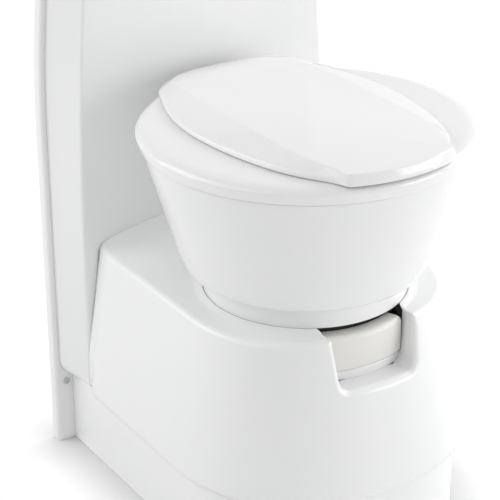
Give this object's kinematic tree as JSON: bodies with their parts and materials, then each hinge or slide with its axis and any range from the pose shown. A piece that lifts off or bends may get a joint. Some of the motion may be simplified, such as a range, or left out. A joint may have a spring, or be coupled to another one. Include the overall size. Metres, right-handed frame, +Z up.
{
  "type": "toilet",
  "caption": "Caravan toilet with a high back console, swivelling round bowl, hinged seat and narrow lid, slide lever and a waste cassette that rolls out at the back.",
  "frame": {"origin": "centre of the bounding box on the floor, which is the plane the plinth and the back frame stand on", "axes": "+Z up; the back of the unit lies in the wall plane at +Y and the front of the bowl faces -Y; +X is to the right of a person who looks at the toilet"},
  "size_m": [0.405, 0.4845, 0.83],
  "materials": {
    "gloss_white": "glossy white moulded plastic",
    "ceramic": "glazed white ceramic inlay",
    "pale_grey": "matt pale grey moulded plastic",
    "lever_grey": "satin warm light grey plastic",
    "dark_grey": "matt dark grey plastic",
    "rubber": "matt black sealing rubber",
    "steel": "bright stainless steel",
    "tank_natural": "natural translucent tank plastic",
    "pump_grey": "matt green-grey plastic",
    "window_smoked": "smoked clear plastic"
  },
  "bodies": {
    "base": {"back_frame": "gloss_white", "console_shell": "gloss_white", "console_cap": "gloss_white", "base_shell": "gloss_white", "floor_plinth": "gloss_white", "support_deck": "pale_grey", "well_ring": "gloss_white", "bearing_ring": "pale_grey", "outlet_seal": "rubber", "panel_bezel": "pale_grey", "level_window": "window_smoked", "flush_tank": "tank_natural", "flush_pump": "pump_grey", "flush_elbow": "dark_grey", "flush_hose": "dark_grey", "frame_screw_left": "steel", "frame_screw_right": "steel"},
    "bowl": {"bowl_shell": "gloss_white", "bowl_liner": "ceramic", "bowl_sump": "gloss_white", "bowl_outlet": "gloss_white", "hinge_block_left": "pale_grey", "hinge_block_right": "pale_grey", "hinge_pin_left": "steel", "hinge_pin_right": "steel"},
    "seat": {"seat_ring": "gloss_white", "seat_buffer_front_left": "rubber", "seat_buffer_front_right": "rubber", "seat_buffer_rear_left": "rubber", "seat_buffer_rear_right": "rubber"},
    "lid": {"lid": "gloss_white", "lid_buffer_left": "rubber", "lid_buffer_right": "rubber"},
    "lever": {"slide_lever": "lever_grey", "drive_ring": "dark_grey"},
    "flush_button": {"flush_button": "gloss_white"},
    "filler_cap": {"filler_cap": "dark_grey"},
    "cassette": {"cassette_tank": "pale_grey", "blade_housing": "dark_grey", "inlet_seal": "rubber", "wheel_pin_left": "steel", "wheel_pin_right": "steel"},
    "blade": {"slide_blade": "steel"},
    "vent_button": {"vent_button": "dark_grey"},
    "spout": {"pour_spout": "dark_grey"},
    "spout_cap": {"spout_cap": "dark_grey"},
    "handle": {"carry_handle": "steel"},
    "wheel_left": {"cassette_wheel_left": "dark_grey"},
    "wheel_right": {"cassette_wheel_right": "dark_grey"}
  },
  "joints": [
    {"name": "bowl_swivel", "type": "hinge", "parent": "base", "child": "bowl", "pos_m": [0, -0.04575, 0.3], "axis": [0, 0, 1], "range_deg": [-90, 90]},
    {"name": "seat_hinge", "type": "hinge", "parent": "bowl", "child": "seat", "pos_m": [0, 0.13625, 0.4893], "axis": [-1, 0, 0], "range_deg": [0, 90]},
    {"name": "lid_hinge", "type": "hinge", "parent": "seat", "child": "lid", "pos_m": [0, 0.13625, 0.4893], "axis": [1, 0, 0], "range_deg": [-90, 0]},
    {"name": "lever_turn", "type": "hinge", "parent": "base", "child": "lever", "pos_m": [0, -0.04575, 0.28], "axis": [0, 0, -1], "range_deg": [0, 34]},
    {"name": "blade_slide", "type": "slide", "parent": "cassette", "child": "blade", "axis": [0, 1, 0], "range_m": [0, 0.092]},
    {"name": "flush_button_press", "type": "slide", "parent": "base", "child": "flush_button", "axis": [0, 1, 0], "range_m": [0, 0.0025], "stiffness_N_per_m": 500, "springref_m": -0.001},
    {"name": "filler_cap_turn", "type": "hinge", "parent": "base", "child": "filler_cap", "pos_m": [0.085, 0.23925, 0.356], "axis": [0, 1, 0], "range_deg": [0, 90]},
    {"name": "cassette_pull", "type": "slide", "parent": "base", "child": "cassette", "axis": [0, 1, 0], "range_m": [0, 0.4]},
    {"name": "vent_button_press", "type": "slide", "parent": "cassette", "child": "vent_button", "axis": [0, 0, -1], "range_m": [0, 0.005], "stiffness_N_per_m": 300, "springref_m": -0.003},
    {"name": "spout_swing", "type": "hinge", "parent": "cassette", "child": "spout", "pos_m": [-0.104, 0.20525, 0.1685], "axis": [0, 0, 1], "range_deg": [0, 90]},
    {"name": "spout_cap_turn", "type": "hinge", "parent": "spout", "child": "spout_cap", "pos_m": [0.026, 0.20525, 0.1685], "axis": [-1, 0, 0], "range_deg": [0, 300]},
    {"name": "handle_fold", "type": "hinge", "parent": "cassette", "child": "handle", "pos_m": [0, 0.23545, 0.104], "axis": [1, 0, 0], "range_deg": [0, 90]},
    {"name": "wheel_left_spin", "type": "hinge", "parent": "cassette", "child": "wheel_left", "pos_m": [-0.136, -0.10575, 0.0233], "axis": [1, 0, 0], "continuous": true},
    {"name": "wheel_right_spin", "type": "hinge", "parent": "cassette", "child": "wheel_right", "pos_m": [0.136, -0.10575, 0.0233], "axis": [1, 0, 0], "continuous": true}
  ],
  "couplings": [
    {"joint": "blade_slide", "follows": "lever_turn", "m_per_rad": 0.155}
  ]
}
